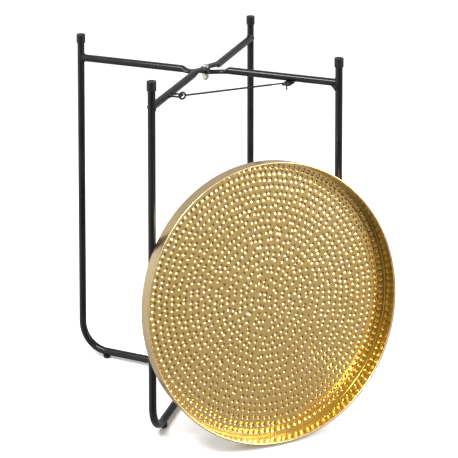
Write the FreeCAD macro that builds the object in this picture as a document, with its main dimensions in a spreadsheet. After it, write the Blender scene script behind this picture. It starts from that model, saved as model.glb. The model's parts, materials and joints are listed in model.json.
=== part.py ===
import FreeCAD, Part
import Sketcher
import math
import operator
import os

# Tray table: a round hammered tray and the folding stand it is carried on.
#
# Row frame, in millimetres.  The origin is on the floor, on the axis of the two
# pivot bolts.  +Z is up.  +X runs along the crossbar of frame A towards its right
# post.  The stand stands open and the tray leans on its two front posts.
#
# Frame A and frame B are U-shaped tubes.  Each has a welded crossbar.  Every bar
# steps sideways through a pressed flat at the pivot, so the two halves of a frame
# lie in parallel planes and the frames nest when they fold.

# Driving dimensions: name and value in millimetres or degrees.
DIMENSIONS = [
    ("overall_height", 564.0),
    ("half_spacing", 230.0),
    ("tube_diameter", 12.0),
    ("tube_wall", 1.2),
    ("bend_radius", 46.0),
    ("half_step", 9.5),
    ("crossbar_drop", 41.0),
    ("bottom_bar_height", 10.0),
    ("open_angle", 84.8),
    ("flat_thickness", 5.0),
    ("flat_width", 16.0),
    ("press_half_length", 40.0),
    ("bolt_diameter", 6.0),
    ("bolt_play", 0.05),
    ("spacer_thickness", 1.0),
    ("head_diameter", 11.0),
    ("head_height", 3.2),
    ("head_edge", 1.1),
    ("head_crown", 3.3),
    ("nut_across_flats", 10.0),
    ("nut_height", 5.0),
    ("dome_radius", 4.4),
    ("low_nut_height", 4.0),
    ("washer_diameter", 12.0),
    ("washer_thickness", 1.2),
    ("lock_washer_diameter", 10.4),
    ("lock_washer_thickness", 1.5),
    ("cap_diameter", 15.0),
    ("cap_length", 15.0),
    ("cap_top", 2.5),
    ("cap_round", 1.4),
    ("pad_diameter", 12.6),
    ("pad_top", 5.6),
    ("pad_inset", 47.0),
    ("pad_chamfer", 1.0),
    ("stem_diameter", 5.0),
    ("stem_top", 9.0),
    ("stem_root", 1.0),
    ("staple_wire", 2.5),
    ("staple_round", 3.0),
    ("staple_a_along", 147.0),
    ("staple_a_spacing", 12.5),
    ("staple_a_leg", 3.0),
    ("staple_a_reach", 22.6),
    ("staple_a_drop", 7.05),
    ("staple_b_along", 157.0),
    ("staple_b_spacing", 14.4),
    ("staple_b_leg", -3.0),
    ("staple_b_reach", 22.8),
    ("stay_wire", 2.5),
    ("eye_radius", 5.1),
    ("eye_play", 0.9),
    ("eye_offset", 0.1),
    ("hook_along", 147.0),
    ("hook_reach", 18.0),
    ("hook_bend", 4.0),
    ("hook_length", 11.5),
    ("hook_play", 0.2),
    ("tray_radius", 209.5),
    ("tray_height", 34.0),
    ("tray_sheet", 1.0),
    ("tray_corner", 5.0),
    ("tray_bead", 1.5),
    ("tray_lean", 9.6),
    ("tray_sideways", 26.3),
    ("tray_gap", 0.3),
]


OPERATIONS = {
    "+": operator.add,
    "-": operator.sub,
    "*": operator.mul,
    "/": operator.truediv,
}


class Size:
    """A number together with the spreadsheet expression that gives it."""

    def __init__(self, value, text):
        self.value = value
        self.text = text

    def _join(self, other, sign, swap=False):
        if not isinstance(other, Size):
            other = Size(float(other), repr(float(other)))
        first, second = (other, self) if swap else (self, other)
        value = OPERATIONS[sign](first.value, second.value)
        return Size(value, "(" + first.text + " " + sign + " " + second.text + ")")

    def __add__(self, other):
        return self._join(other, "+")

    def __radd__(self, other):
        return self._join(other, "+", True)

    def __sub__(self, other):
        return self._join(other, "-")

    def __rsub__(self, other):
        return self._join(other, "-", True)

    def __mul__(self, other):
        return self._join(other, "*")

    def __rmul__(self, other):
        return self._join(other, "*", True)

    def __truediv__(self, other):
        return self._join(other, "/")

    def __neg__(self):
        return self._join(-1.0, "*")


class Sizes:
    """Named driving dimensions as attributes."""


def make_sheet(doc):
    sheet = doc.addObject("Spreadsheet::Sheet", "dims")
    sizes = Sizes()
    for row, (name, value) in enumerate(DIMENSIONS, start=1):
        sheet.set("A%d" % row, name)
        sheet.set("B%d" % row, repr(value))
        sheet.setAlias("B%d" % row, name)
        setattr(sizes, name, Size(value, "dims." + name))
    doc.recompute()
    return sizes


doc = FreeCAD.newDocument("tray_table")
d = make_sheet(doc)

ZERO = Size(0.0, "0")
TUBE_RADIUS = d.tube_diameter * 0.5
CROSSBAR_Z = d.overall_height - d.crossbar_drop
TUBE_TOP_Z = d.overall_height - d.cap_top
HALF_SPACER = d.spacer_thickness * 0.5
# How far each frame is turned about the pivot axis, in degrees.
FRAME_A_TURN = 0.0
FRAME_B_TURN = 180.0 - d.open_angle.value
# Each bar's half on the -X side lies at this sign times half_step in local Y.
FRAME_A_HAND = -1.0
FRAME_B_HAND = 1.0
# Frame A's flats are pressed low and frame B's high, so they cross.
FRAME_A_LEVEL = -1.0
FRAME_B_LEVEL = 1.0


# ---------------------------------------------------------------- helpers


def make_body(label):
    body = doc.addObject("PartDesign::Body", label)
    body.Label = label
    return body


def origin_feature(body, role):
    for feature in body.Origin.OriginFeatures:
        if feature.Role == role:
            return feature
    raise ValueError(role)


def make_sketch(body, name, role, offset=None):
    """A sketch on one of the body's origin planes, moved along that plane's normal."""
    sketch = body.newObject("Sketcher::SketchObject", name)
    sketch.AttachmentSupport = [(origin_feature(body, role), "")]
    sketch.MapMode = "FlatFace"
    if offset is not None:
        sketch.setExpression("AttachmentOffset.Base.z", offset.text)
    return sketch


def pin(sketch, geometry, point, x, y):
    """Hold one point of a sketch at x, y from the sketch's origin."""
    for kind, size in (("DistanceX", x), ("DistanceY", y)):
        index = sketch.addConstraint(
            Sketcher.Constraint(kind, -1, 1, geometry, point, size.value)
        )
        sketch.setExpression("Constraints[%d]" % index, size.text)


def circle(sketch, x, y, radius):
    index = sketch.addGeometry(
        Part.Circle(
            FreeCAD.Vector(x.value, y.value, 0), FreeCAD.Vector(0, 0, 1), radius.value
        ),
        False,
    )
    pin(sketch, index, 3, x, y)
    number = sketch.addConstraint(Sketcher.Constraint("Radius", index, radius.value))
    sketch.setExpression("Constraints[%d]" % number, radius.text)
    return index


def arc_geometry(start, end, radius, turn, large):
    """The arc from start to end; turn is 1 anticlockwise, -1 clockwise."""
    middle = (start + end) * 0.5
    chord = end - start
    half = chord.Length * 0.5
    rise = math.sqrt(max(radius * radius - half * half, 0.0))
    side = FreeCAD.Vector(-chord.y, chord.x, 0)
    side.normalize()
    if large:
        rise = -rise
    centre = middle + side * (rise * turn)
    first = math.atan2(start.y - centre.y, start.x - centre.x)
    last = math.atan2(end.y - centre.y, end.x - centre.x)
    if turn < 0:
        first, last = last, first
    round_line = Part.Circle(centre, FreeCAD.Vector(0, 0, 1), radius)
    return Part.ArcOfCircle(round_line, first, last)


def outline(sketch, steps, closed=True):
    """Draw a chain of lines and arcs.

    steps is a list of (x, y, edge): the point where an edge starts, and the edge
    that leaves it, either None for a line or (radius, turn, large) for an arc.
    """
    count = len(steps)
    edges = count if closed else count - 1
    ends = []
    for number in range(edges):
        x, y, edge = steps[number]
        next_x, next_y, _ = steps[(number + 1) % count]
        start = FreeCAD.Vector(x.value, y.value, 0)
        end = FreeCAD.Vector(next_x.value, next_y.value, 0)
        if edge is None:
            index = sketch.addGeometry(Part.LineSegment(start, end), False)
            ends.append((index, 1, 2))
        else:
            radius, turn, large = edge
            shape = arc_geometry(start, end, radius.value, turn, large)
            index = sketch.addGeometry(shape, False)
            ends.append((index, 1, 2) if turn > 0 else (index, 2, 1))
            if (end - start).Length > 1.999 * radius.value:
                # A half circle between two points one above the other.
                kind, point, size = "DistanceX", (-1, 1, index, 3), x
            else:
                kind, point, size = "Radius", (index,), radius
            limit = sketch.addConstraint(
                Sketcher.Constraint(kind, *point, size.value)
            )
            sketch.setExpression("Constraints[%d]" % limit, size.text)
    for number, (index, start_point, end_point) in enumerate(ends):
        x, y, _ = steps[number]
        pin(sketch, index, start_point, x, y)
        if number + 1 < edges or closed:
            following = ends[(number + 1) % edges]
            sketch.addConstraint(
                Sketcher.Constraint(
                    "Coincident", index, end_point, following[0], following[1]
                )
            )
        else:
            x, y, _ = steps[number + 1]
            pin(sketch, index, end_point, x, y)


def pad(body, name, sketch, length, both=False, reverse=False):
    feature = body.newObject("PartDesign::Pad", name)
    feature.Profile = sketch
    feature.setExpression("Length", length.text)
    feature.Midplane = both
    feature.Reversed = reverse
    sketch.Visibility = False
    return feature


def pocket(body, name, sketch, length, both=False, reverse=False):
    """Cut the sketch out of the body and check that it took material away."""
    before = body.Shape.Volume
    feature = body.newObject("PartDesign::Pocket", name)
    feature.Profile = sketch
    feature.setExpression("Length", length.text)
    feature.Midplane = both
    feature.Reversed = reverse
    sketch.Visibility = False
    doc.recompute()
    if body.Shape.Volume >= before - 0.01:
        raise ValueError(body.Label + " " + name + " removed nothing")
    return feature


def revolve(body, name, sketch, role="Z_Axis"):
    feature = body.newObject("PartDesign::Revolution", name)
    feature.Profile = sketch
    feature.ReferenceAxis = (origin_feature(body, role), [""])
    feature.Angle = 360.0
    sketch.Visibility = False
    return feature


def pipe(body, name, profile, spine):
    feature = body.newObject("PartDesign::AdditivePipe", name)
    feature.Profile = profile
    feature.Spine = spine
    profile.Visibility = False
    spine.Visibility = False
    return feature


def half_turn_copy(body, originals):
    """Repeat features half a turn round the body's Z axis."""
    doc.recompute()
    pattern = body.newObject("PartDesign::PolarPattern", "half_turn")
    pattern.Originals = originals
    pattern.Axis = (origin_feature(body, "Z_Axis"), [""])
    pattern.Angle = 360.0
    pattern.Occurrences = 2
    body.Tip = pattern
    doc.recompute()
    return pattern


def place(body, x=0.0, y=0.0, z=0.0, turn=0.0):
    rotation = FreeCAD.Rotation(FreeCAD.Vector(0, 0, 1), turn)
    body.Placement = FreeCAD.Placement(FreeCAD.Vector(x, y, z), rotation)


def on_frame(x, y, turn):
    """Row position of a point given in a frame's own x and y."""
    angle = math.radians(turn)
    return (
        x * math.cos(angle) - y * math.sin(angle),
        x * math.sin(angle) + y * math.cos(angle),
    )


# ---------------------------------------------------------------- tube frames


def bowed_edge(half_chord, rise):
    """An anticlockwise arc on a chord, given how far it bows out; None if straight."""
    if rise.value < 1e-6:
        return None
    radius = (half_chord * half_chord + rise * rise) / (rise * 2.0)
    return (radius, 1, False)


def bar_section(body, name, at_x, centre_y, centre_z, press):
    """The section across a bar: round at press 0, fully flattened at press 1."""
    quarter = math.cos(math.radians(45.0))
    round_corner = TUBE_RADIUS * quarter
    round_rise = TUBE_RADIUS * (1.0 - quarter)
    flat_rise = d.flat_thickness * 0.5
    flat_corner = (d.flat_width - d.flat_thickness) * 0.5
    half_width = round_corner * (1.0 - press) + flat_corner * press
    half_height = round_corner * (1.0 - press) + flat_rise * press
    flat_edge = bowed_edge(half_width, round_rise * (1.0 - press))
    side_edge = bowed_edge(half_height, round_rise * (1.0 - press) + flat_rise * press)
    sketch = make_sketch(body, name, "YZ_Plane", at_x)
    outline(
        sketch,
        [
            (centre_y - half_width, centre_z - half_height, flat_edge),
            (centre_y + half_width, centre_z - half_height, side_edge),
            (centre_y + half_width, centre_z + half_height, flat_edge),
            (centre_y - half_width, centre_z + half_height, side_edge),
        ],
    )
    return sketch


# The pressed step, from the round tube to the flat at the pivot.  Each row is the
# share of the step's length left to go, of its sideways move, and of the press.  The
# bar is pressed flat before it moves sideways, so folded bars lie beside each other.
STEP_STATIONS = [
    (1.0, 1.0, 0.0),
    (0.93, 1.0, 0.10),
    (0.83, 1.0, 0.50),
    (0.73, 1.0, 0.90),
    (0.66, 0.98, 1.0),
    (0.56, 0.82, 1.0),
    (0.43, 0.50, 1.0),
    (0.30, 0.18, 1.0),
    (0.20, 0.02, 1.0),
    (0.14, 0.0, 1.0),
]


def flat_level(level, press):
    """How far the pressed section's middle sits above or below the bar's axis."""
    return (HALF_SPACER + d.flat_thickness * 0.5) * (level * press)


def pressed_step(body, hand, level, axis_z):
    """One half of the pressed step, on the -X side of the pivot."""
    sections = []
    for number, (along, aside, press) in enumerate(STEP_STATIONS):
        sections.append(
            bar_section(
                body,
                "press_%d" % number,
                -d.press_half_length * along,
                d.half_step * (hand * aside),
                axis_z + flat_level(level, press),
                press,
            )
        )
    loft = body.newObject("PartDesign::AdditiveLoft", "pressed_half")
    loft.Profile = sections[0]
    loft.Sections = sections[1:]
    loft.Ruled = False
    for sketch in sections:
        sketch.Visibility = False
    return loft


def centre_flat(body, level, axis_z):
    """The straight flat at the pivot, joining the two pressed halves."""
    middle = axis_z + flat_level(level, 1.0)
    section = bar_section(body, "flat_section", ZERO, ZERO, middle, 1.0)
    length = d.press_half_length * (STEP_STATIONS[-1][0] * 2.0)
    return pad(body, "centre_flat", section, length, both=True)


def bolt_hole(body, low_z):
    hole = make_sketch(body, "bolt_hole_circle", "XY_Plane", low_z)
    circle(hole, ZERO, ZERO, d.bolt_diameter * 0.5 + d.bolt_play)
    return pocket(body, "bolt_hole", hole, d.tube_diameter * 2.0, reverse=True)


def make_u_tube(label, hand, level, turn):
    """One U-shaped tube: two posts, two bends and a bottom bar with its flat."""
    body = make_body(label)
    aside = d.half_step * hand
    spine = make_sketch(body, "spine", "XZ_Plane", -aside)
    outline(
        spine,
        [
            (-d.half_spacing, TUBE_TOP_Z, None),
            (
                -d.half_spacing,
                d.bottom_bar_height + d.bend_radius,
                (d.bend_radius, 1, False),
            ),
            (d.bend_radius - d.half_spacing, d.bottom_bar_height, None),
            (-d.press_half_length, d.bottom_bar_height, None),
        ],
        closed=False,
    )
    ring = make_sketch(body, "tube_section", "XY_Plane", TUBE_TOP_Z)
    circle(ring, -d.half_spacing, aside, TUBE_RADIUS)
    circle(ring, -d.half_spacing, aside, TUBE_RADIUS - d.tube_wall)
    tube = pipe(body, "bent_tube", ring, spine)
    step = pressed_step(body, hand, level, d.bottom_bar_height)
    centre_flat(body, level, d.bottom_bar_height)
    half_turn_copy(body, [tube, step])
    bolt_hole(body, d.bottom_bar_height - d.tube_diameter)
    stems = make_sketch(body, "stem_circles", "XY_Plane")
    stem_x = d.half_spacing - d.pad_inset
    circle(stems, -stem_x, aside, d.stem_diameter * 0.5)
    circle(stems, stem_x, -aside, d.stem_diameter * 0.5)
    pocket(body, "stem_holes", stems, d.bottom_bar_height, reverse=True)
    place(body, turn=turn)
    return body


def make_crossbar(label, hand, level, turn):
    """One crossbar, coped to the posts it is welded between."""
    body = make_body(label)
    aside = d.half_step * hand
    start_x = TUBE_RADIUS * 0.5 - d.half_spacing
    ring = make_sketch(body, "tube_section", "YZ_Plane", start_x)
    circle(ring, aside, CROSSBAR_Z, TUBE_RADIUS)
    circle(ring, aside, CROSSBAR_Z, TUBE_RADIUS - d.tube_wall)
    bar = pad(body, "round_bar", ring, -d.press_half_length - start_x)
    step = pressed_step(body, hand, level, CROSSBAR_Z)
    centre_flat(body, level, CROSSBAR_Z)
    half_turn_copy(body, [bar, step])
    bolt_hole(body, CROSSBAR_Z - d.tube_diameter)
    posts = make_sketch(body, "post_circles", "XY_Plane", CROSSBAR_Z - d.tube_diameter)
    circle(posts, -d.half_spacing, aside, TUBE_RADIUS)
    circle(posts, d.half_spacing, -aside, TUBE_RADIUS)
    pocket(body, "coped_ends", posts, d.tube_diameter * 2.0, reverse=True)
    place(body, turn=turn)
    return body


# ---------------------------------------------------------------- rubber parts


def make_post_cap(label, x, y, turn):
    """A rubber cap pushed over the open top of a post."""
    body = make_body(label)
    sketch = make_sketch(body, "cap_section", "XZ_Plane")
    outer = d.cap_diameter * 0.5
    low = d.overall_height - d.cap_length
    inside = TUBE_TOP_Z
    outline(
        sketch,
        [
            (TUBE_RADIUS, low, None),
            (outer, low, None),
            (outer, d.overall_height - d.cap_round, (d.cap_round, 1, False)),
            (outer - d.cap_round, d.overall_height, None),
            (ZERO, d.overall_height, None),
            (ZERO, inside, None),
            (TUBE_RADIUS, inside, None),
        ],
    )
    revolve(body, "cap", sketch)
    place(body, *on_frame(x, y, turn), turn=turn)
    return body


def make_foot_pad(label, x, y, turn):
    """A rubber glide under the bottom bar, with its stem pushed into the tube."""
    body = make_body(label)
    sketch = make_sketch(body, "pad_section", "XZ_Plane")
    outer = d.pad_diameter * 0.5
    stem_start = d.bottom_bar_height - TUBE_RADIUS - d.stem_root
    outline(
        sketch,
        [
            (ZERO, ZERO, None),
            (outer - d.pad_chamfer, ZERO, None),
            (outer, d.pad_chamfer, None),
            (outer, d.pad_top, None),
            (ZERO, d.pad_top, None),
        ],
    )
    revolve(body, "pad", sketch)
    saddle = make_sketch(body, "saddle_circle", "YZ_Plane")
    circle(saddle, ZERO, d.bottom_bar_height, TUBE_RADIUS)
    doc.recompute()
    pocket(body, "saddle", saddle, d.pad_diameter * 2.0, both=True)
    root = make_sketch(body, "stem_circle", "XY_Plane", stem_start)
    circle(root, ZERO, ZERO, d.stem_diameter * 0.5)
    pad(body, "stem", root, d.stem_top - stem_start)
    place(body, *on_frame(x, y, turn), turn=turn)
    return body


# ---------------------------------------------------------------- pivot hardware


def ring_body(label, inner_radius, outer_radius, low_z, thickness):
    """A flat washer on the pivot axis."""
    body = make_body(label)
    sketch = make_sketch(body, "washer_circles", "XY_Plane", low_z)
    circle(sketch, ZERO, ZERO, outer_radius)
    circle(sketch, ZERO, ZERO, inner_radius)
    pad(body, "washer", sketch, thickness)
    return body


def make_bolt(label, head_z, head_up, shank_length):
    """A round-headed bolt: the head's flat side is at head_z."""
    body = make_body(label)
    sketch = make_sketch(body, "bolt_section", "XZ_Plane")
    radius = d.bolt_diameter * 0.5
    head = d.head_diameter * 0.5
    sign = 1.0 if head_up else -1.0
    top = head_z + d.head_height * sign
    shoulder = head_z + d.head_edge * sign
    tip = head_z - shank_length * sign
    outline(
        sketch,
        [
            (ZERO, tip, None),
            (radius, tip, None),
            (radius, head_z, None),
            (head, head_z, None),
            (head, shoulder, None),
            (d.head_crown, top, None),
            (ZERO, top, None),
        ],
    )
    revolve(body, "bolt", sketch)
    return body


def make_nut(label, flat_z, length, down, domed):
    """A hexagon nut whose bearing face is at flat_z, with or without a dome."""
    body = make_body(label)
    sketch = make_sketch(body, "hexagon", "XY_Plane", flat_z)
    reach = d.nut_across_flats * (0.5 / math.cos(math.radians(30.0)))
    corners = []
    for number in range(6):
        angle = math.radians(60.0 * number)
        corners.append((reach * math.cos(angle), reach * math.sin(angle), None))
    outline(sketch, corners)
    pad(body, "hexagon_pad", sketch, length, reverse=down)
    sign = -1.0 if down else 1.0
    if domed:
        dome = make_sketch(body, "dome_section", "XZ_Plane")
        base = flat_z + length * sign
        outline(
            dome,
            [
                (ZERO, base, None),
                (d.dome_radius, base, (d.dome_radius, int(sign), False)),
                (ZERO, base + d.dome_radius * sign, None),
            ],
        )
        revolve(body, "dome", dome)
    doc.recompute()
    bore = make_sketch(body, "bore_circle", "XY_Plane", flat_z)
    circle(bore, ZERO, ZERO, d.bolt_diameter * 0.5)
    pocket(body, "bore", bore, length, reverse=not down)
    return body


def make_pivots():
    """Both pivot bolts with their nuts, washers and spacers."""
    hole = d.bolt_diameter * 0.5 + d.bolt_play
    half_stack = HALF_SPACER + d.flat_thickness
    for name, axis_z in (("top", CROSSBAR_Z), ("bottom", d.bottom_bar_height)):
        ring_body(
            name + "_pivot_spacer",
            hole,
            d.washer_diameter * 0.5,
            axis_z - HALF_SPACER,
            d.spacer_thickness,
        )
    washer_z = CROSSBAR_Z - half_stack - d.washer_thickness
    ring_body(
        "top_pivot_washer",
        hole,
        d.washer_diameter * 0.5,
        washer_z,
        d.washer_thickness,
    )
    lock_z = washer_z - d.lock_washer_thickness
    ring_body(
        "top_pivot_lock_washer",
        hole,
        d.lock_washer_diameter * 0.5,
        lock_z,
        d.lock_washer_thickness,
    )
    head_z = CROSSBAR_Z + half_stack + d.bolt_play
    shank = head_z - lock_z + d.nut_height
    make_bolt("top_pivot_bolt", head_z, True, shank)
    make_nut("top_pivot_nut", lock_z, d.nut_height, True, True)
    low_z = d.bottom_bar_height - half_stack
    nut_z = d.bottom_bar_height + half_stack + d.bolt_play
    make_bolt("bottom_pivot_bolt", low_z, False, nut_z - low_z + d.low_nut_height)
    make_nut("bottom_pivot_nut", nut_z, d.low_nut_height, False, False)


# ---------------------------------------------------------------- stay and staples


def make_staple(label, along, spacing, leg, reach, wire_z, turn):
    """A level U of wire welded to a crossbar, its bight away from the bar.

    The legs end leg past the bar's axis and the bight is reach away from that axis,
    towards -Y of the frame.
    """
    body = make_body(label)
    half = spacing * 0.5
    wire = d.staple_wire * 0.5
    tip_y = d.half_step - reach
    start_y = d.half_step + leg
    plan = make_sketch(body, "staple_path", "XY_Plane", wire_z)
    outline(
        plan,
        [
            (along - half, start_y, None),
            (along - half, tip_y + d.staple_round, (d.staple_round, 1, False)),
            (along - half + d.staple_round, tip_y, None),
            (along + half - d.staple_round, tip_y, (d.staple_round, 1, False)),
            (along + half, tip_y + d.staple_round, None),
            (along + half, start_y, None),
        ],
        closed=False,
    )
    section = make_sketch(body, "wire_circle", "XZ_Plane", -start_y)
    circle(section, along - half, wire_z, wire)
    pipe(body, "staple", section, plan)
    doc.recompute()
    bar = make_sketch(body, "bar_circle", "YZ_Plane", along)
    circle(bar, d.half_step, CROSSBAR_Z, TUBE_RADIUS)
    pocket(body, "weld_line", bar, spacing * 2.0, both=True)
    place(body, turn=turn)
    return body


def make_stay_rod():
    """The stay: an eye round staple B and a hook that drops into staple A."""
    axis = stay_axis_point()
    hook = hook_point()
    direction = FreeCAD.Vector(hook.x - axis.x, hook.y - axis.y, 0)
    bearing = math.degrees(math.atan2(direction.y, direction.x))
    direction.normalize()
    eye = axis + direction * d.eye_play.value
    length = math.hypot(hook.x - eye.x, hook.y - eye.y)
    fall = eye.z - hook.z
    body = make_body("stay_rod")
    loop = make_sketch(body, "eye_circle", "XY_Plane")
    circle(loop, d.eye_radius, ZERO, d.stay_wire * 0.5)
    revolve(body, "eye", loop, "Y_Axis")
    spine = make_sketch(body, "rod_path", "XZ_Plane")
    far = Size(length, repr(length))
    drop = Size(fall, repr(fall))
    outline(
        spine,
        [
            (d.eye_radius, ZERO, None),
            (far - d.hook_bend, -drop, (d.hook_bend, -1, False)),
            (far, -drop - d.hook_bend, None),
            (far, -drop - d.hook_length, None),
        ],
        closed=False,
    )
    section = make_sketch(body, "rod_circle", "YZ_Plane", d.eye_radius)
    circle(section, ZERO, ZERO, d.stay_wire * 0.5)
    pipe(body, "rod", section, spine)
    place(body, eye.x, eye.y, eye.z, bearing)
    return body


def stay_axis_point():
    """Middle of staple B's bight, in the row frame."""
    x, y = on_frame(
        d.eye_offset.value - d.staple_b_along.value,
        d.half_step.value - d.staple_b_reach.value,
        FRAME_B_TURN,
    )
    return FreeCAD.Vector(x, y, CROSSBAR_Z.value)


def hook_point():
    """Where the hook turns down inside staple A, in the row frame."""
    y = d.half_step.value - d.hook_reach.value
    lift = (d.staple_wire.value + d.stay_wire.value) * 0.5 + d.hook_play.value
    z = CROSSBAR_Z.value - d.staple_a_drop.value + lift
    return FreeCAD.Vector(d.hook_along.value, y, z)


# ---------------------------------------------------------------- tray


def make_tray():
    """The tray: flat floor, upright wall and a rolled bead, from one sheet."""
    body = make_body("tray")
    sketch = make_sketch(body, "tray_section", "XZ_Plane")
    wall = d.tray_radius
    inner = d.tray_radius - d.tray_sheet
    corner = d.tray_corner
    bead = d.tray_bead
    neck = math.sqrt(bead.value**2 - (0.5 * d.tray_sheet.value) ** 2)
    bead_z = d.tray_height - bead - neck
    outline(
        sketch,
        [
            (ZERO, ZERO, None),
            (wall - corner, ZERO, (corner, 1, False)),
            (wall, corner, None),
            (wall, bead_z, (bead, 1, True)),
            (inner, bead_z, None),
            (inner, corner, (corner - d.tray_sheet, -1, False)),
            (wall - corner, d.tray_sheet, None),
            (ZERO, d.tray_sheet, None),
        ],
    )
    revolve(body, "tray", sketch)
    body.Placement = tray_placement()
    return body


def gap_to_post(post, centre, across, upward):
    """Clearance between a post and the rounded back edge of the tray.

    The edge is a ring of circular section, so the clearance is the level distance
    from the post's axis to the ring's centre line, less both radii.
    """
    ring = d.tray_radius.value - d.tray_corner.value
    low, high = 0.0, math.pi

    def level_distance(angle):
        point = centre + across * (ring * math.cos(angle)) + upward * (ring * math.sin(angle))
        return math.hypot(point.x - post.x, point.y - post.y)

    for _ in range(80):
        third = (high - low) / 3.0
        if level_distance(low + third) < level_distance(high - third):
            high -= third
        else:
            low += third
    return level_distance(low) - TUBE_RADIUS.value - d.tray_corner.value


def tray_placement():
    """Rest pose: standing on its edge on the floor, leaning on both front posts."""
    lean = math.radians(d.tray_lean.value)
    corner = d.tray_corner.value
    ring = d.tray_radius.value - corner
    centre_z = ring * math.cos(lean) + corner * (1.0 - math.sin(lean))
    right = FreeCAD.Vector(d.half_spacing.value, d.half_step.value, 0)
    front_x, front_y = on_frame(-right.x, right.y, FRAME_B_TURN)
    front = FreeCAD.Vector(front_x, front_y, 0)
    facing = math.radians(0.5 * d.open_angle.value - d.open_angle.value)
    distance = right.x
    # Turn and shift the tray until it is the same small gap from both posts.
    for _ in range(60):
        normal = FreeCAD.Vector(math.cos(facing), math.sin(facing), 0)
        across = FreeCAD.Vector(-normal.y, normal.x, 0)
        outward = normal * math.cos(lean) + FreeCAD.Vector(0, 0, math.sin(lean))
        upward = outward.cross(across)
        base = normal * distance + across * d.tray_sideways.value
        base.z = centre_z
        edge = base + outward * corner
        right_gap = gap_to_post(right, edge, across, upward)
        front_gap = gap_to_post(front, edge, across, upward)
        distance += d.tray_gap.value - 0.5 * (right_gap + front_gap)
        facing += (right_gap - front_gap) / (right - front).Length
    return FreeCAD.Placement(base, FreeCAD.Rotation(across, upward, outward, "ZXY"))


# ---------------------------------------------------------------- the whole table


def make_frame(letter, hand, level, turn, low_name, high_name):
    """One frame with its crossbar, caps and glides."""
    make_u_tube("frame_%s_tube" % letter, hand, level, turn)
    make_crossbar("frame_%s_crossbar" % letter, hand, level, turn)
    spacing = d.half_spacing.value
    step = d.half_step.value * hand
    glide_x = spacing - d.pad_inset.value
    for name, sign in ((low_name, -1.0), (high_name, 1.0)):
        aside = -sign * step
        make_post_cap("post_cap_%s_%s" % (letter, name), sign * spacing, aside, turn)
        make_foot_pad("foot_pad_%s_%s" % (letter, name), sign * glide_x, aside, turn)


def build():
    make_frame("a", FRAME_A_HAND, FRAME_A_LEVEL, FRAME_A_TURN, "left", "right")
    make_frame("b", FRAME_B_HAND, FRAME_B_LEVEL, FRAME_B_TURN, "front", "back")
    make_pivots()
    make_staple(
        "staple_a",
        d.staple_a_along,
        d.staple_a_spacing,
        d.staple_a_leg,
        d.staple_a_reach,
        CROSSBAR_Z - d.staple_a_drop,
        FRAME_A_TURN,
    )
    make_staple(
        "staple_b",
        -d.staple_b_along,
        d.staple_b_spacing,
        d.staple_b_leg,
        d.staple_b_reach,
        CROSSBAR_Z,
        FRAME_B_TURN,
    )
    make_stay_rod()
    make_tray()


def export():
    """Check every object, then write one STEP file for each piece."""
    doc.recompute()
    for item in doc.Objects:
        if "Invalid" in item.State or "Error" in item.State:
            raise ValueError(item.Label + " did not compute")
    os.makedirs("parts", exist_ok=True)
    for body in doc.findObjects("PartDesign::Body"):
        shape = body.Shape
        if shape.isNull() or not shape.isValid():
            raise ValueError(body.Label + " has no valid shape")
        if len(shape.Solids) != 1:
            raise ValueError(body.Label + " is not one solid")
        shape.exportStep("parts/%s.step" % body.Label)


build()
export()
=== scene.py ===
import json
import math
import random

import bmesh
import bpy
import numpy as np
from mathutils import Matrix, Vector, kdtree, noise


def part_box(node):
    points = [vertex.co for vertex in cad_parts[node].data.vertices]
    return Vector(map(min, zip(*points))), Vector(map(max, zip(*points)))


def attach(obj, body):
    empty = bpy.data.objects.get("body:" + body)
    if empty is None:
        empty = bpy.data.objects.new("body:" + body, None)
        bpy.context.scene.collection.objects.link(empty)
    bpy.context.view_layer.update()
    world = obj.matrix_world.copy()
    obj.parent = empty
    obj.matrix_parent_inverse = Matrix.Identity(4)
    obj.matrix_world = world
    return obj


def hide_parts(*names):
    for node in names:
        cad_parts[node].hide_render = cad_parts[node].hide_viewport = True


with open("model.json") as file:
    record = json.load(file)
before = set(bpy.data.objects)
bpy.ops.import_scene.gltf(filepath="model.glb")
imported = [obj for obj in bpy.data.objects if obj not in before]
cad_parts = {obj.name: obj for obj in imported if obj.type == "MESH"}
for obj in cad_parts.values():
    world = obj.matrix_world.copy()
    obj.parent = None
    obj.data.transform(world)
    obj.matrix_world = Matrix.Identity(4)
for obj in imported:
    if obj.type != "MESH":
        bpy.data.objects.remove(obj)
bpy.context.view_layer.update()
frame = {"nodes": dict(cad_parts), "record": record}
RECORD = frame["record"]
NODES = frame["nodes"]

MM = 0.001
TAU = 2.0 * math.pi
QUARTER = 0.5 * math.pi
# The stand's tubes and the height of the crossbars, in millimetres.
BAR_RADIUS = 6.0
POST_RADIUS = 6.0
BAR_LEVEL = 523.0
# The way from the tray to the main light.
KEY_WAY = (0.875, 0.04, 0.48)


# ---------------------------------------------------------------- node helpers


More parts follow.
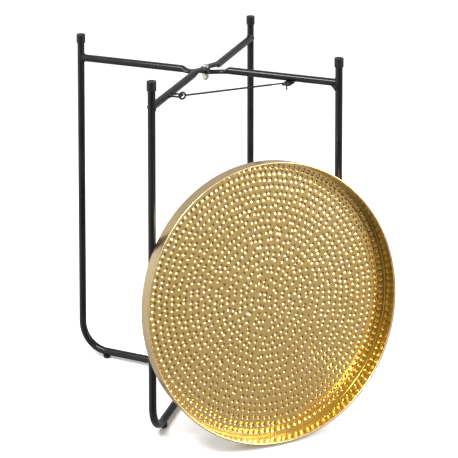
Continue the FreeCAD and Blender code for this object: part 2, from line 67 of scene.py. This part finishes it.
class Graph:
    """A small builder of shader nodes for one material or world."""

    def __init__(self, tree):
        self.tree = tree

    def node(self, kind, inputs=None, **settings):
        """A new node with its settings made and its inputs fed."""
        made = self.tree.nodes.new(kind)
        for name, value in settings.items():
            setattr(made, name, value)
        for name, value in (inputs or {}).items():
            self.feed(made, name, value)
        return made

    def feed(self, made, name, value):
        """Links a socket to an input, or sets the input to a value."""
        if isinstance(value, bpy.types.NodeSocket):
            self.tree.links.new(value, made.inputs[name])
        else:
            made.inputs[name].default_value = value

    def math(self, operation, first, second):
        """A sum or product of two values."""
        return self.node("ShaderNodeMath", {0: first, 1: second}, operation=operation).outputs[0]

    def span(self, value, low, high, to_low, to_high):
        """Maps low..high onto to_low..to_high and stops at both ends."""
        made = self.node(
            "ShaderNodeMapRange",
            {"Value": value, "From Min": low, "From Max": high, "To Min": to_low, "To Max": to_high},
            interpolation_type="SMOOTHSTEP",
        )
        return made.outputs["Result"]

    def noise(self, where, scale, detail=3.0, rough=0.5):
        """Cloudy noise from 0 to 1."""
        made = self.node(
            "ShaderNodeTexNoise",
            {"Vector": where, "Scale": scale, "Detail": detail, "Roughness": rough},
        )
        return made.outputs["Fac"]

    def mix(self, amount, first, second):
        """A blend from the first colour to the second."""
        made = self.node("ShaderNodeMix", data_type="RGBA")
        self.feed(made, 0, amount)
        self.feed(made, 6, first)
        self.feed(made, 7, second)
        return made.outputs[2]

    def bump(self, height, distance, strength):
        """A surface normal roughened by a height, distance deep in metres."""
        made = self.node(
            "ShaderNodeBump", {"Height": height, "Distance": distance, "Strength": strength}
        )
        return made.outputs["Normal"]


def surface(name):
    """A new material: its graph, its main shader node and its own coordinates."""
    made = bpy.data.materials.new(name)
    made.use_nodes = True
    made.node_tree.nodes.clear()
    graph = Graph(made.node_tree)
    shader = graph.node("ShaderNodeBsdfPrincipled")
    out = graph.node("ShaderNodeOutputMaterial")
    graph.tree.links.new(shader.outputs[0], out.inputs["Surface"])
    where = graph.node("ShaderNodeTexCoord").outputs["Object"]
    return made, graph, shader, where


def shade(value):
    """A colour with full alpha."""
    return (value[0], value[1], value[2], 1.0)


# ------------------------------------------------------------------- materials


def powder_coat(name, dark, light):
    """Semi-matt black powder coat: fine orange peel, faint dust, worn sheen."""
    made, graph, shader, where = surface(name)
    patch = graph.noise(where, 22.0, 4.0, 0.6)
    peel = graph.noise(where, 900.0, 2.0, 0.5)
    dust = graph.span(graph.noise(where, 420.0, 3.0, 0.7), 0.62, 0.80, 0.0, 0.12)
    base = graph.mix(graph.span(patch, 0.35, 0.65, 0.0, 1.0), shade(dark), shade(light))
    graph.feed(shader, "Base Color", graph.mix(dust, base, shade((0.05, 0.048, 0.046))))
    graph.feed(shader, "Roughness", graph.span(patch, 0.3, 0.7, 0.13, 0.20))
    graph.feed(shader, "Specular IOR Level", 0.32)
    graph.feed(shader, "Normal", graph.bump(peel, 0.00008, 0.25))
    return made


def rubber(name):
    """Moulded black rubber: dull, with fine grain and pale scuffs."""
    made, graph, shader, where = surface(name)
    grain = graph.noise(where, 2200.0, 2.0, 0.6)
    scuff = graph.span(graph.noise(where, 260.0, 4.0, 0.65), 0.56, 0.74, 0.0, 0.35)
    tone = graph.mix(scuff, shade((0.006, 0.006, 0.0065)), shade((0.028, 0.028, 0.030)))
    graph.feed(shader, "Base Color", tone)
    graph.feed(shader, "Roughness", graph.span(scuff, 0.0, 0.35, 0.36, 0.55))
    graph.feed(shader, "Specular IOR Level", 0.34)
    graph.feed(shader, "Normal", graph.bump(grain, 0.00010, 0.4))
    return made


def black_wire(name):
    """Painted steel wire: near black with faint drawn streaks."""
    made, graph, shader, where = surface(name)
    patch = graph.noise(where, 90.0, 3.0, 0.6)
    fine = graph.noise(where, 1800.0, 2.0, 0.5)
    tone = graph.mix(patch, shade((0.002, 0.002, 0.002)), shade((0.006, 0.005, 0.005)))
    graph.feed(shader, "Base Color", tone)
    graph.feed(shader, "Roughness", graph.span(patch, 0.3, 0.7, 0.32, 0.50))
    graph.feed(shader, "Specular IOR Level", 0.2)
    graph.feed(shader, "Normal", graph.bump(fine, 0.00008, 0.4))
    return made


def zinc(name):
    """Bright zinc plate: crystalline patches of roughness with a slight warm cast."""
    made, graph, shader, where = surface(name)
    grain = graph.node(
        "ShaderNodeTexVoronoi", {"Vector": where, "Scale": 900.0}, feature="F1"
    ).outputs["Distance"]
    patch = graph.noise(where, 320.0, 4.0, 0.6)
    tone = graph.mix(patch, shade((0.78, 0.77, 0.74)), shade((0.62, 0.58, 0.50)))
    graph.feed(shader, "Base Color", tone)
    graph.feed(shader, "Metallic", 1.0)
    graph.feed(shader, "Roughness", graph.span(patch, 0.35, 0.65, 0.16, 0.34))
    graph.feed(shader, "Normal", graph.bump(grain, 0.00010, 0.3))
    return made


# How far a tarnish speck darkens each channel of the brass.
TARNISH_TINT = (0.62, 0.55, 0.45)
LACQUER_ROUGHNESS = 0.10
LACQUER_IOR = 1.6


def brass(name, pale, deep, roughness, grain, lacquer=0.0, tarnish=0.45):
    """Brass sheet in one finish.

    roughness is its lowest and highest, grain is its scale and its depth in metres."""
    made, graph, shader, where = surface(name)
    cloud = graph.noise(where, 14.0, 4.0, 0.6)
    patch = graph.noise(where, 95.0, 4.0, 0.6)
    speck = graph.span(graph.noise(where, 700.0, 3.0, 0.7), 0.66, 0.80, 0.0, tarnish)
    tone = graph.mix(graph.span(cloud, 0.35, 0.65, 0.0, 1.0), shade(pale), shade(deep))
    dark = [channel * tint for channel, tint in zip(deep, TARNISH_TINT)]
    graph.feed(shader, "Base Color", graph.mix(speck, tone, shade(dark)))
    graph.feed(shader, "Metallic", 1.0)
    graph.feed(shader, "Roughness", graph.span(patch, 0.3, 0.7, *roughness))
    graph.feed(shader, "Coat Weight", lacquer)
    graph.feed(shader, "Coat Roughness", LACQUER_ROUGHNESS)
    graph.feed(shader, "Coat IOR", LACQUER_IOR)
    fine = graph.noise(where, grain[0], 3.0, 0.6)
    graph.feed(shader, "Normal", graph.bump(fine, grain[1], 0.5))
    return made


COAT = powder_coat("powder_coat", (0.0045, 0.0045, 0.005), (0.008, 0.008, 0.009))
RUBBER = rubber("rubber")
WIRE = black_wire("wire_paint")
ZINC = zinc("bright_zinc")
FLOOR_BRASS = brass(
    "brass_floor",
    pale=(1.0, 0.67, 0.235),
    deep=(0.97, 0.635, 0.195),
    roughness=(0.12, 0.20),
    grain=(260.0, 0.00010),
    lacquer=0.85,
)
# The inner wall is the floor's brass made about half as bright: painted shade that dims the light it
# mirrors from the floor and the main light.
SHADED_WALL_BRASS = brass(
    "brass_inner_wall_painted_shade",
    pale=(0.54, 0.385, 0.055),
    deep=(0.49, 0.345, 0.045),
    roughness=(0.18, 0.24),
    grain=(120.0, 0.00003),
    lacquer=0.6,
)
SATIN_BRASS = brass(
    "brass_satin",
    pale=(0.88, 0.67, 0.38),
    deep=(0.84, 0.62, 0.32),
    roughness=(0.25, 0.32),
    grain=(500.0, 0.00003),
    tarnish=0.12,
)
# The bead is given a darker brass than the satin outside: painted shade that dims the bright line it
# mirrors along the rim.
SHADED_BEAD_BRASS = brass(
    "brass_bead_painted_shade",
    pale=(0.78, 0.60, 0.31),
    deep=(0.74, 0.54, 0.24),
    roughness=(0.30, 0.40),
    grain=(400.0, 0.00006),
)

FINISH = {
    "black_frame": COAT,
    "black_rubber": RUBBER,
    "black_wire": WIRE,
    "zinc_hardware": ZINC,
    "hammered_brass": SATIN_BRASS,
}


def dress_cad_nodes():
    """Gives each CAD node the finish its material slot names."""
    for item in NODES.values():
        for index, holder in enumerate(item.material_slots):
            plain = holder.material.name.split(".")[0] if holder.material else ""
            if plain in FINISH:
                item.material_slots[index].material = FINISH[plain]


# ----------------------------------------------------------------- mesh helpers


def middle(node):
    """The centre of a CAD node's box."""
    low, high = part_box(node)
    return (low + high) * 0.5


def mesh_piece(name, points, quads, body, materials, which=None):
    """A smooth-shaded mesh piece from point and face arrays, riding on a body."""
    mesh = bpy.data.meshes.new(name)
    points = np.asarray(points, dtype=np.float32)
    quads = np.asarray(quads, dtype=np.int32)
    mesh.vertices.add(len(points))
    mesh.vertices.foreach_set("co", points.ravel())
    mesh.loops.add(quads.size)
    mesh.loops.foreach_set("vertex_index", quads.ravel())
    mesh.polygons.add(len(quads))
    mesh.polygons.foreach_set("loop_start", np.arange(0, quads.size, 4, dtype=np.int32))
    for material in materials:
        mesh.materials.append(material)
    if which is not None:
        mesh.polygons.foreach_set("material_index", np.asarray(which, dtype=np.int32))
    mesh.update(calc_edges=True)
    mesh.polygons.foreach_set("use_smooth", np.ones(len(quads), dtype=bool))
    mesh.validate()
    item = bpy.data.objects.new(name, mesh)
    bpy.context.scene.collection.objects.link(item)
    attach(item, body)
    return item


# ------------------------------------------------------------------------- tray

# The sheet, in millimetres.
TRAY_SHEET = 1.0
TRAY_HEIGHT = 34.0
TRAY_CORNER = 2.5
INNER_CORNER = 0.6
BEAD_RADIUS = 1.5
# Hammer marks: rings from the wall inwards, and marks along each ring.
OUTER_RING = 200.3
SMALLEST_RING = 4.0
RING_PITCH = 10.2
DIMPLE_PITCH = 9.25
DIMPLE_RADIUS = 3.15
DIMPLE_DEPTH = 0.90
DIMPLE_ROUND = 1.35
OUTER_SWELL = 1.22
OUTER_SWELL_RINGS = 2
LOWER_EASE = 0.18
HAMMER_SEED = 1907
# How unevenly the marks fall: a ring's drift in millimetres, shares of size and depth.
RING_DRIFT = 0.3
SIZE_SPREAD = (0.88, 1.10)
DEPTH_SPREAD = (0.78, 1.15)
# A point of the sheet feels this many of its nearest marks.
NEAR_MARKS = 3
# The shallow hollow round each mark.
SURROUND_RADIUS = 5.2
SURROUND_DEPTH = 0.20
# How strongly the marks show on the back, and the plain band left at its edge.
BACK_SHARE = 0.55
PLAIN_BAND = 18.0
PLAIN_FADE = 8.0
RIM_FADE = 2.5
# Waves of the beaten floor: length, height and seed.
WAVES = ((34.0, 0.28, 3.1), (13.0, 0.09, 9.7))
# Ripple of the wall: its height, where it starts, and its shares. Each share has its
# size, how busy it is round the rim and how busy up the wall.
WALL_RIPPLE = 0.10
RIPPLE_FOOT = 2.0
RIPPLES = ((1.0, 9.0, 0.05), (0.5, 30.0, 0.11))
# Mesh steps: across the floor, then along each part of the section.
GRID = 400
FILLET_STEPS = 4
WALL_STEPS = 10
BEAD_STEPS = 13
OUTSIDE_STEPS = 8
CORNER_STEPS = 6
# Finishes in the order of the mesh's material slots.
FLOOR, WALL, BEAD, OUTSIDE = range(4)
# The posts that the tray leans on, named by their caps, and the gap left to each.
LEANS_ON = ("post_cap_a_right", "post_cap_b_front")
POST_CLEARANCE = 0.05


def tray_axes():
    """The tray's own frame: back-plane centre, then across, up and outward."""
    mount = next(m for m in RECORD["mounts"] if m["name"] == "tray_floor")
    outward = Vector(mount["axis"]).normalized()
    base = Vector(mount["pos_m"]) - outward * (TRAY_SHEET * MM)
    across = Vector((-outward.y, outward.x, 0.0)).normalized()
    return base, across, outward.cross(across), outward


BASE, ACROSS, UPWARD, OUTWARD = tray_axes()


def bead_reach():
    """Radius over the bead in mm, from the CAD tray."""
    data = NODES["tray"].data
    flat = np.empty(len(data.vertices) * 3, dtype=np.float32)
    data.vertices.foreach_get("co", flat)
    local = flat.reshape(-1, 3) - np.array(BASE)
    return np.hypot(local @ np.array(ACROSS), local @ np.array(UPWARD)).max() / MM


def looseness(ring):
    """How far in mm a mark strays, growing over the first rings and again inside."""
    return 0.45 + 0.75 * min(1.0, ring / 5.0) + 0.6 * min(1.0, max(0.0, (ring - 8) / 6.0))


def dimple_places(rng):
    """Hammer marks in rings: tidy near the wall, looser towards the middle.

    Each entry is x, y, radius and depth in mm."""
    places = []
    ring = 0
    radius = OUTER_RING
    while radius > SMALLEST_RING:
        count = max(1, round(TAU * radius / DIMPLE_PITCH))
        start = rng.uniform(0.0, TAU)
        loose = looseness(ring)
        drift = rng.uniform(-RING_DRIFT, RING_DRIFT)
        for index in range(count):
            angle = start + TAU * index / count
            away = radius + rng.gauss(0.0, loose * 0.8) + drift
            turn = angle + rng.gauss(0.0, loose) / radius
            swell = OUTER_SWELL if ring < OUTER_SWELL_RINGS else 1.0
            size = DIMPLE_RADIUS * swell * rng.uniform(*SIZE_SPREAD)
            depth = DIMPLE_DEPTH * swell * rng.uniform(*DEPTH_SPREAD)
            lighter = 1.0 - LOWER_EASE * max(0.0, -math.sin(turn)) * away / OUTER_RING
            size *= lighter
            depth *= lighter
            places.append((away * math.cos(turn), away * math.sin(turn), size, depth))
        radius -= RING_PITCH
        ring += 1
    return places


def disc_grid(count, radius):
    """A square grid pressed into a disc: points, quads and the rim in order."""
    steps = np.linspace(-1.0, 1.0, count + 1)
    first, second = np.meshgrid(steps, steps, indexing="ij")
    wide = np.abs(first) > np.abs(second)
    safe_first = np.where(wide, first, 1.0)
    safe_second = np.where(np.abs(second) > 0.0, second, 1.0)
    away = np.where(wide, first, second)
    turn = np.where(
        wide,
        0.5 * QUARTER * second / safe_first,
        QUARTER - 0.5 * QUARTER * first / safe_second,
    )
    points = np.stack([away * np.cos(turn) * radius, away * np.sin(turn) * radius], axis=-1)
    order = np.arange((count + 1) ** 2).reshape(count + 1, count + 1)
    quads = np.stack(
        [order[:-1, :-1], order[1:, :-1], order[1:, 1:], order[:-1, 1:]], axis=-1
    ).reshape(-1, 4)
    rim = np.concatenate([order[:-1, 0], order[-1, :-1], order[:0:-1, -1], order[0, :0:-1]])
    return points.reshape(-1, 2), quads, rim


def dimple_field(points, places):
    """Hammered depth in mm under each point."""
    tree = kdtree.KDTree(len(places))
    for index, place in enumerate(places):
        tree.insert((place[0], place[1], 0.0), index)
    tree.balance()
    field = np.zeros(len(points))
    for index, (x, y) in enumerate(points):
        core = 0.0
        broad = 0.0
        for _, found, distance in tree.find_n((x, y, 0.0), NEAR_MARKS):
            size, depth = places[found][2], places[found][3]
            reach = distance / size
            if reach < 1.0:
                core = max(core, depth * (1.0 - reach * reach) ** DIMPLE_ROUND)
            wide = distance / SURROUND_RADIUS
            if wide < 1.0:
                broad = max(broad, SURROUND_DEPTH * (1.0 - wide * wide) ** 2)
        field[index] = core + broad
    return field


def wave(points, length, height, seed):
    """Slow unevenness of beaten sheet in mm at each point."""
    scale = 1 / length
    return height * np.array(
        [noise.noise((x * scale + seed, y * scale - seed, seed)) for x, y in points]
    )


def crease(mesh, rings):
    """Keeps the shading crisp along closed rings of vertices."""
    ends = np.empty(len(mesh.edges) * 2, dtype=np.int32)
    mesh.edges.foreach_get("vertices", ends)
    ends = ends.reshape(-1, 2)
    sharp = np.zeros(len(mesh.edges), dtype=bool)
    for ring in rings:
        held = np.zeros(len(mesh.vertices), dtype=bool)
        held[ring] = True
        sharp |= held[ends].all(axis=1)
    mesh.edges.foreach_set("use_edge_sharp", sharp)


def tray_profile(wall):
    """Section from the floor's edge over the bead and round to the back's edge.

    Each entry is radius, height and the finish it starts."""
    inner = wall - TRAY_SHEET
    half_sheet = 0.5 * TRAY_SHEET
    bead_centre = wall - half_sheet
    bead_height = TRAY_HEIGHT - BEAD_RADIUS
    neck = math.sqrt(BEAD_RADIUS**2 - half_sheet**2)
    section = []
    for step in range(1, FILLET_STEPS + 1):
        turn = QUARTER * step / FILLET_STEPS
        radius = inner - INNER_CORNER * (1.0 - math.sin(turn))
        height = TRAY_SHEET + INNER_CORNER * (1.0 - math.cos(turn))
        section.append((radius, height, WALL))
    top = bead_height - neck
    low = TRAY_SHEET + INNER_CORNER
    for step in range(1, WALL_STEPS + 1):
        section.append((inner, low + (top - low) * step / WALL_STEPS, WALL))
    start = math.atan2(-neck, -half_sheet)
    sweep = -(TAU - 2.0 * math.atan2(half_sheet, neck))
    for step in range(1, BEAD_STEPS + 1):
        turn = start + sweep * step / BEAD_STEPS
        radius = bead_centre + BEAD_RADIUS * math.cos(turn)
        section.append((radius, bead_height + BEAD_RADIUS * math.sin(turn), BEAD))
    for step in range(1, OUTSIDE_STEPS + 1):
        section.append((wall, top - (top - TRAY_CORNER) * step / OUTSIDE_STEPS, OUTSIDE))
    for step in range(1, CORNER_STEPS + 1):
        turn = QUARTER * step / CORNER_STEPS
        radius = wall - TRAY_CORNER + TRAY_CORNER * math.cos(turn)
        section.append((radius, TRAY_CORNER - TRAY_CORNER * math.sin(turn), OUTSIDE))
    return section


def wall_ripple(angle, height):
    """Waviness of the wall round the rim: none at the floor and at the bead."""
    ripple = np.zeros(len(angle))
    for share, busy, climb in RIPPLES:
        round_rim = np.column_stack([busy * np.cos(angle), busy * np.sin(angle)])
        ripple += [share * noise.noise((x, y, height * climb)) for x, y in round_rim]
    free = math.sin(math.pi * min(1.0, max(0.0, (height - RIPPLE_FOOT) / TRAY_HEIGHT)))
    return WALL_RIPPLE * free * ripple


def clear_post(world, cap):
    """Presses the corner back where it leans on the post under this cap."""
    post = np.array(middle(cap))[:2]
    offset = world[:, :2] - post
    away = np.hypot(offset[:, 0], offset[:, 1])
    free = (POST_RADIUS + POST_CLEARANCE) * MM
    close = away < free
    world[close, :2] = post + offset[close] * (free / away[close])[:, None]


def beaten_heights(points, reach, wall):
    """Heights in mm of the sheet's front and back over the floor's points."""
    field = dimple_field(points, dimple_places(random.Random(HAMMER_SEED)))
    slow = sum(wave(points, *kind) for kind in WAVES)
    radial = np.hypot(points[:, 0], points[:, 1])
    inside = np.clip((reach - radial) / RIM_FADE, 0.0, 1.0)
    calm = np.clip((wall - PLAIN_BAND - radial) / PLAIN_FADE, 0.0, 1.0)
    front = TRAY_SHEET - field * inside + slow * inside
    back = -BACK_SHARE * field * calm + slow * calm
    return front, back


def tray_skin(wall):
    """The tray in its own frame: points in mm, faces, their finishes and the seams."""
    reach = wall - TRAY_SHEET - INNER_CORNER
    disc, quads, rim = disc_grid(GRID, reach)
    front, back = beaten_heights(disc, reach, wall)
    angle = np.arctan2(disc[rim, 1], disc[rim, 0])
    points = [np.column_stack([disc, front])]
    faces = [quads]
    finish = [np.full(len(quads), FLOOR)]
    rings = [rim]
    total = len(disc)
    for radius, height, kind in tray_profile(wall):
        away = radius + wall_ripple(angle, height)
        level = np.full(len(rim), height)
        points.append(np.column_stack([away * np.cos(angle), away * np.sin(angle), level]))
        last = rings[-1]
        now = np.arange(total, total + len(rim))
        faces.append(np.column_stack([last, now, np.roll(now, -1), np.roll(last, -1)]))
        finish.append(np.full(len(rim), kind))
        rings.append(now)
        total += len(rim)
    # The back shares its rim with the last ring of the section.
    order = np.arange(total, total + len(disc))
    order[rim] = rings[-1]
    points.append(np.column_stack([disc * ((wall - TRAY_CORNER) / reach), back]))
    faces.append(order[quads][:, ::-1])
    finish.append(np.full(len(quads), OUTSIDE))
    seams = (rings[0], rings[FILLET_STEPS])
    return np.concatenate(points), np.concatenate(faces), np.concatenate(finish), seams


def stand_tray(points):
    """Places the tray's points against the stand, in metres."""
    flat = points * MM
    world = (
        np.array(BASE)
        + flat[:, :1] * np.array(ACROSS)
        + flat[:, 1:2] * np.array(UPWARD)
        + flat[:, 2:3] * np.array(OUTWARD)
    )
    # The edge it stands on is worn flat to the floor.
    world[:, 2] = np.maximum(world[:, 2], 0.0)
    for cap in LEANS_ON:
        clear_post(world, cap)
    return world


def make_tray():
    """The beaten tray: one closed skin from dimpled floor to dimpled back."""
    wall = bead_reach() - BEAD_RADIUS + 0.5 * TRAY_SHEET
    points, faces, finish, seams = tray_skin(wall)
    world = stand_tray(points)
    used = np.zeros(len(world), dtype=bool)
    used[faces.ravel()] = True
    fresh = np.cumsum(used) - 1
    metals = [FLOOR_BRASS, SHADED_WALL_BRASS, SHADED_BEAD_BRASS, SATIN_BRASS]
    item = mesh_piece(
        "tray_beaten", world[used], fresh[faces], "tray", metals, finish
    )
    crease(item.data, [fresh[seam] for seam in seams])
    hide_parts("tray")


# ------------------------------------------------------------------------ welds

# Steps round a weld, and how far its hidden side sinks into the tubes in millimetres.
WELD_STEPS = 72
WELD_ROOT = 2.0
# The weld's own width, what it gains above and below, and its ripples.
WELD_LEG = 0.9
WELD_GAIN = 1.1
WELD_RIPPLE = 0.18
WELD_RIPPLES = 17
WELD_ROUGHNESS = 0.1
# How much of the weld's round the heavier part underneath takes, in radians.
GUSSET_SPREAD = 0.75
# How far in from the ends of each staple its weld metal sits, in millimetres.
STAPLE_A_INSET = 10.5
STAPLE_B_INSET = 2.2
STAPLE_LEG = 1.6
# Where along x the close-fitting hook starts, and the paint's build, in millimetres.
HOOK_START = 130.0
PAINT_BUILD = 0.25


def weld_leg(turn, gusset, rng):
    """Width of the weld in mm at one place round the bar."""
    under = math.exp(-(((turn - 3.0 * QUARTER) / GUSSET_SPREAD) ** 2))
    leg = WELD_LEG + WELD_GAIN * abs(math.sin(turn)) + gusset * under
    leg += WELD_RIPPLE * math.sin(turn * WELD_RIPPLES)
    return leg + rng.uniform(-WELD_ROUGHNESS, WELD_ROUGHNESS)


def weld_section(leg):
    """Section of the weld in mm: along the bar, then out from it."""
    return (
        (-WELD_ROOT, -WELD_ROOT),
        (leg, -0.8 * WELD_ROOT),
        (leg, 0.04),
        (leg * 0.66, leg * 0.30),
        (leg * 0.36, leg * 0.62),
        (0.03, leg * 1.05),
        (-0.8 * WELD_ROOT, leg * 1.05),
    )


def make_weld(name, cap, body, gusset, seed):
    """The weld round a crossbar's end: a fillet that is heavier underneath."""
    post = middle(cap)
    centre = Vector((post.x, post.y, BAR_LEVEL * MM))
    along = Vector((-post.x, -post.y, 0.0)).normalized()
    side = Vector((-along.y, along.x, 0.0))
    rng = random.Random(seed)
    points = []
    for step in range(WELD_STEPS):
        turn = TAU * step / WELD_STEPS
        radial = side * math.cos(turn) + Vector((0.0, 0.0, math.sin(turn)))
        depth = math.sqrt(max(0.0, POST_RADIUS**2 - (BAR_RADIUS * math.cos(turn)) ** 2))
        corner = centre + radial * (BAR_RADIUS * MM) + along * (depth * MM)
        section = weld_section(weld_leg(turn, gusset, rng))
        for out, up in section:
            points.append(corner + along * (out * MM) + radial * (up * MM))
    size = len(section)
    faces = []
    for step in range(WELD_STEPS):
        here, there = step * size, (step + 1) % WELD_STEPS * size
        for index in range(size):
            after = (index + 1) % size
            faces.append((here + index, here + after, there + after, there + index))
    mesh_piece(name, points, faces, body, [COAT])


def make_lump(name, centre, half, body, seed):
    """A blob of weld metal at the root of a staple; half is its half sizes in mm."""
    form = bmesh.new()
    bmesh.ops.create_icosphere(form, subdivisions=4, radius=1.0)
    for vertex in form.verts:
        way = vertex.co.normalized()
        swell = 1.0 + 0.10 * noise.noise(way * 2.3 + Vector((seed, 0.0, 0.0)))
        flat = Vector((way.x * half[0], way.y * half[1], way.z * half[2])) * swell
        vertex.co = Vector(centre) + flat * MM
    mesh = bpy.data.meshes.new(name)
    form.to_mesh(mesh)
    form.free()
    mesh.materials.append(COAT)
    mesh.polygons.foreach_set("use_smooth", np.ones(len(mesh.polygons), dtype=bool))
    item = bpy.data.objects.new(name, mesh)
    bpy.context.scene.collection.objects.link(item)
    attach(item, body)


def thicken_wire(node):
    """Paint build-up on a wire piece, but not on the close-fitting hook."""
    wire = NODES[node]
    shaft = wire.vertex_groups.new(name="shaft")
    keep = [v.index for v in wire.data.vertices if v.co.x < HOOK_START * MM]
    shaft.add(keep, 1.0, "REPLACE")
    swell = wire.modifiers.new("paint", "DISPLACE")
    swell.strength = PAINT_BUILD * MM
    swell.mid_level = 0.0
    swell.vertex_group = "shaft"


def make_staple_welds():
    """Weld metal between each staple's legs and the crossbar it hangs from."""
    centre = middle("staple_a")
    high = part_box("staple_a")[1]
    root = Vector((centre.x, high.y - STAPLE_A_INSET * MM, centre.z))
    make_lump("weld_staple_a", root, (8.6, 8.6, 2.5), "frame_a", 21)
    centre = middle("staple_b")
    low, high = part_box("staple_b")
    near = low.y + STAPLE_LEG * MM
    far = high.y - STAPLE_LEG * MM
    for name, depth in (("weld_staple_b_near", near), ("weld_staple_b_far", far)):
        root = Vector((low.x + STAPLE_B_INSET * MM, depth, centre.z))
        make_lump(name, root, (3.4, 2.6, 2.5), "frame_b", 22)


# ------------------------------------------------------------- camera and light


VIEWPOINT = Vector((0.9250, -2.1123, 1.1432))
TILT = 86.04
HEADING = 22.68
LENS = 110.56
LENS_SHIFT = -0.9503
LIGHT_DISTANCE = 2.4
FLOOR_REACH = 12.0
# The paper lies just under the feet, in millimetres.
FLOOR_DROP = 0.2


def make_camera():
    """Camera at the studio viewpoint; its lens shift holds only at that place."""
    data = bpy.data.cameras.new("camera")
    data.lens = LENS
    data.sensor_width = 36.0
    camera = bpy.data.objects.new("camera", data)
    camera.location = VIEWPOINT
    camera.rotation_euler = (math.radians(TILT), 0.0, math.radians(HEADING))
    bpy.context.scene.collection.objects.link(camera)
    bpy.context.scene.camera = camera
    marker = bpy.data.objects.new("viewpoint", None)
    marker.location = VIEWPOINT
    bpy.context.scene.collection.objects.link(marker)
    data.shift_y = LENS_SHIFT
    driver = data.driver_add("shift_y").driver
    driver.type = "SCRIPTED"
    away = driver.variables.new()
    away.name = "away"
    away.type = "LOC_DIFF"
    away.targets[0].id = camera
    away.targets[1].id = marker
    driver.expression = f"{LENS_SHIFT} if away < {MM} else 0.0"


def make_floor():
    """A sheet of white paper under the table, which no metal mirrors."""
    mesh = bpy.data.meshes.new("floor")
    corners = ((-1, -1), (1, -1), (1, 1), (-1, 1))
    mesh.from_pydata([(x * FLOOR_REACH, y * FLOOR_REACH, 0) for x, y in corners], [], [(0, 1, 2, 3)])
    item = bpy.data.objects.new("floor", mesh)
    bpy.context.scene.collection.objects.link(item)
    item.location.z = -FLOOR_DROP * MM
    made, graph, shader, where = surface("floor_paper")
    grain = graph.noise(where, 40.0, 3.0, 0.5)
    tone = graph.mix(grain, shade((0.90, 0.90, 0.90)), shade((0.93, 0.93, 0.925)))
    graph.feed(shader, "Base Color", tone)
    graph.feed(shader, "Roughness", 0.95)
    graph.feed(shader, "Specular IOR Level", 0.0)
    mesh.materials.append(made)
    item.visible_glossy = False


# What the metal mirrors: bright patches are added to the room's grey and dark
# patches scale it. Each has its way, where it starts and is full, and its strength.
ROOM_GREY = 0.44
BRIGHT_PATCHES = (
    (KEY_WAY, 0.72, 0.97, 0.35),
    ((0.0, 0.0, 1.0), 0.2, 0.9, 0.25),
    ((-0.80, -0.55, 0.15), 0.3, 0.95, 0.75),
)
DARK_PATCHES = (
    ((0.60, -0.70, -0.40), 0.90, 0.995, 0.45),
    ((0.39, -0.91, -0.10), 0.80, 0.97, 0.45),
)


def mirrored_room(graph):
    """The grey that a mirror shows in each direction."""
    look = graph.node("ShaderNodeTexCoord").outputs["Generated"]

    def facing(direction):
        way = tuple(Vector(direction).normalized())
        made = graph.node("ShaderNodeVectorMath", {0: look, 1: way}, operation="DOT_PRODUCT")
        return made.outputs["Value"]

    grey = ROOM_GREY
    for way, start, full, strength in BRIGHT_PATCHES:
        grey = graph.math("ADD", grey, graph.span(facing(way), start, full, 0.0, strength))
    for way, start, full, strength in DARK_PATCHES:
        grey = graph.math("MULTIPLY", grey, graph.span(facing(way), start, full, 1.0, strength))
    return graph.node("ShaderNodeCombineColor", {0: grey, 1: grey, 2: grey}).outputs[0]


def make_world():
    """White room for the eye, graded grey room for what the metal mirrors."""
    world = bpy.data.worlds.new("studio")
    bpy.context.scene.world = world
    world.use_nodes = True
    world.node_tree.nodes.clear()
    graph = Graph(world.node_tree)
    path = graph.node("ShaderNodeLightPath")
    around = graph.mix(path.outputs["Is Glossy Ray"], shade((1.02, 1.02, 1.03)), mirrored_room(graph))
    seen = graph.mix(path.outputs["Is Camera Ray"], around, shade((1.0, 1.0, 1.0)))
    shown = graph.node("ShaderNodeBackground", {"Color": seen, "Strength": 1.0})
    out = graph.node("ShaderNodeOutputWorld")
    graph.tree.links.new(shown.outputs[0], out.inputs["Surface"])


def softbox(name, direction, size, power, target):
    """A rectangular studio light that the camera does not see."""
    data = bpy.data.lights.new(name, "AREA")
    data.shape = "RECTANGLE"
    data.size, data.size_y = size
    data.energy = power
    item = bpy.data.objects.new(name, data)
    way = Vector(direction).normalized()
    item.location = target + way * LIGHT_DISTANCE
    item.rotation_mode = "QUATERNION"
    item.rotation_quaternion = way.to_track_quat("Z", "Y")
    item.visible_camera = False
    bpy.context.scene.collection.objects.link(item)


def make_lights():
    """The main light at the right, and a wide strip of light high at the left."""
    softbox("key", KEY_WAY, (1.1, 1.5), 60.0, BASE)
    softbox("high", (-0.25, -0.60, 0.77), (1.3, 0.5), 68.0, BASE + Vector((0.0, 0.0, 0.3)))


# ------------------------------------------------------------------------ scene

dress_cad_nodes()
make_tray()
make_weld("weld_a_left", "post_cap_a_left", "frame_a", 0.8, 11)
make_weld("weld_a_right", "post_cap_a_right", "frame_a", 5.5, 12)
make_weld("weld_b_front", "post_cap_b_front", "frame_b", 0.8, 13)
make_weld("weld_b_back", "post_cap_b_back", "frame_b", 1.2, 14)
make_staple_welds()
thicken_wire("stay_rod")
thicken_wire("staple_b")
make_floor()
make_world()
make_lights()
make_camera()
bpy.context.scene.view_settings.view_transform = "Standard"
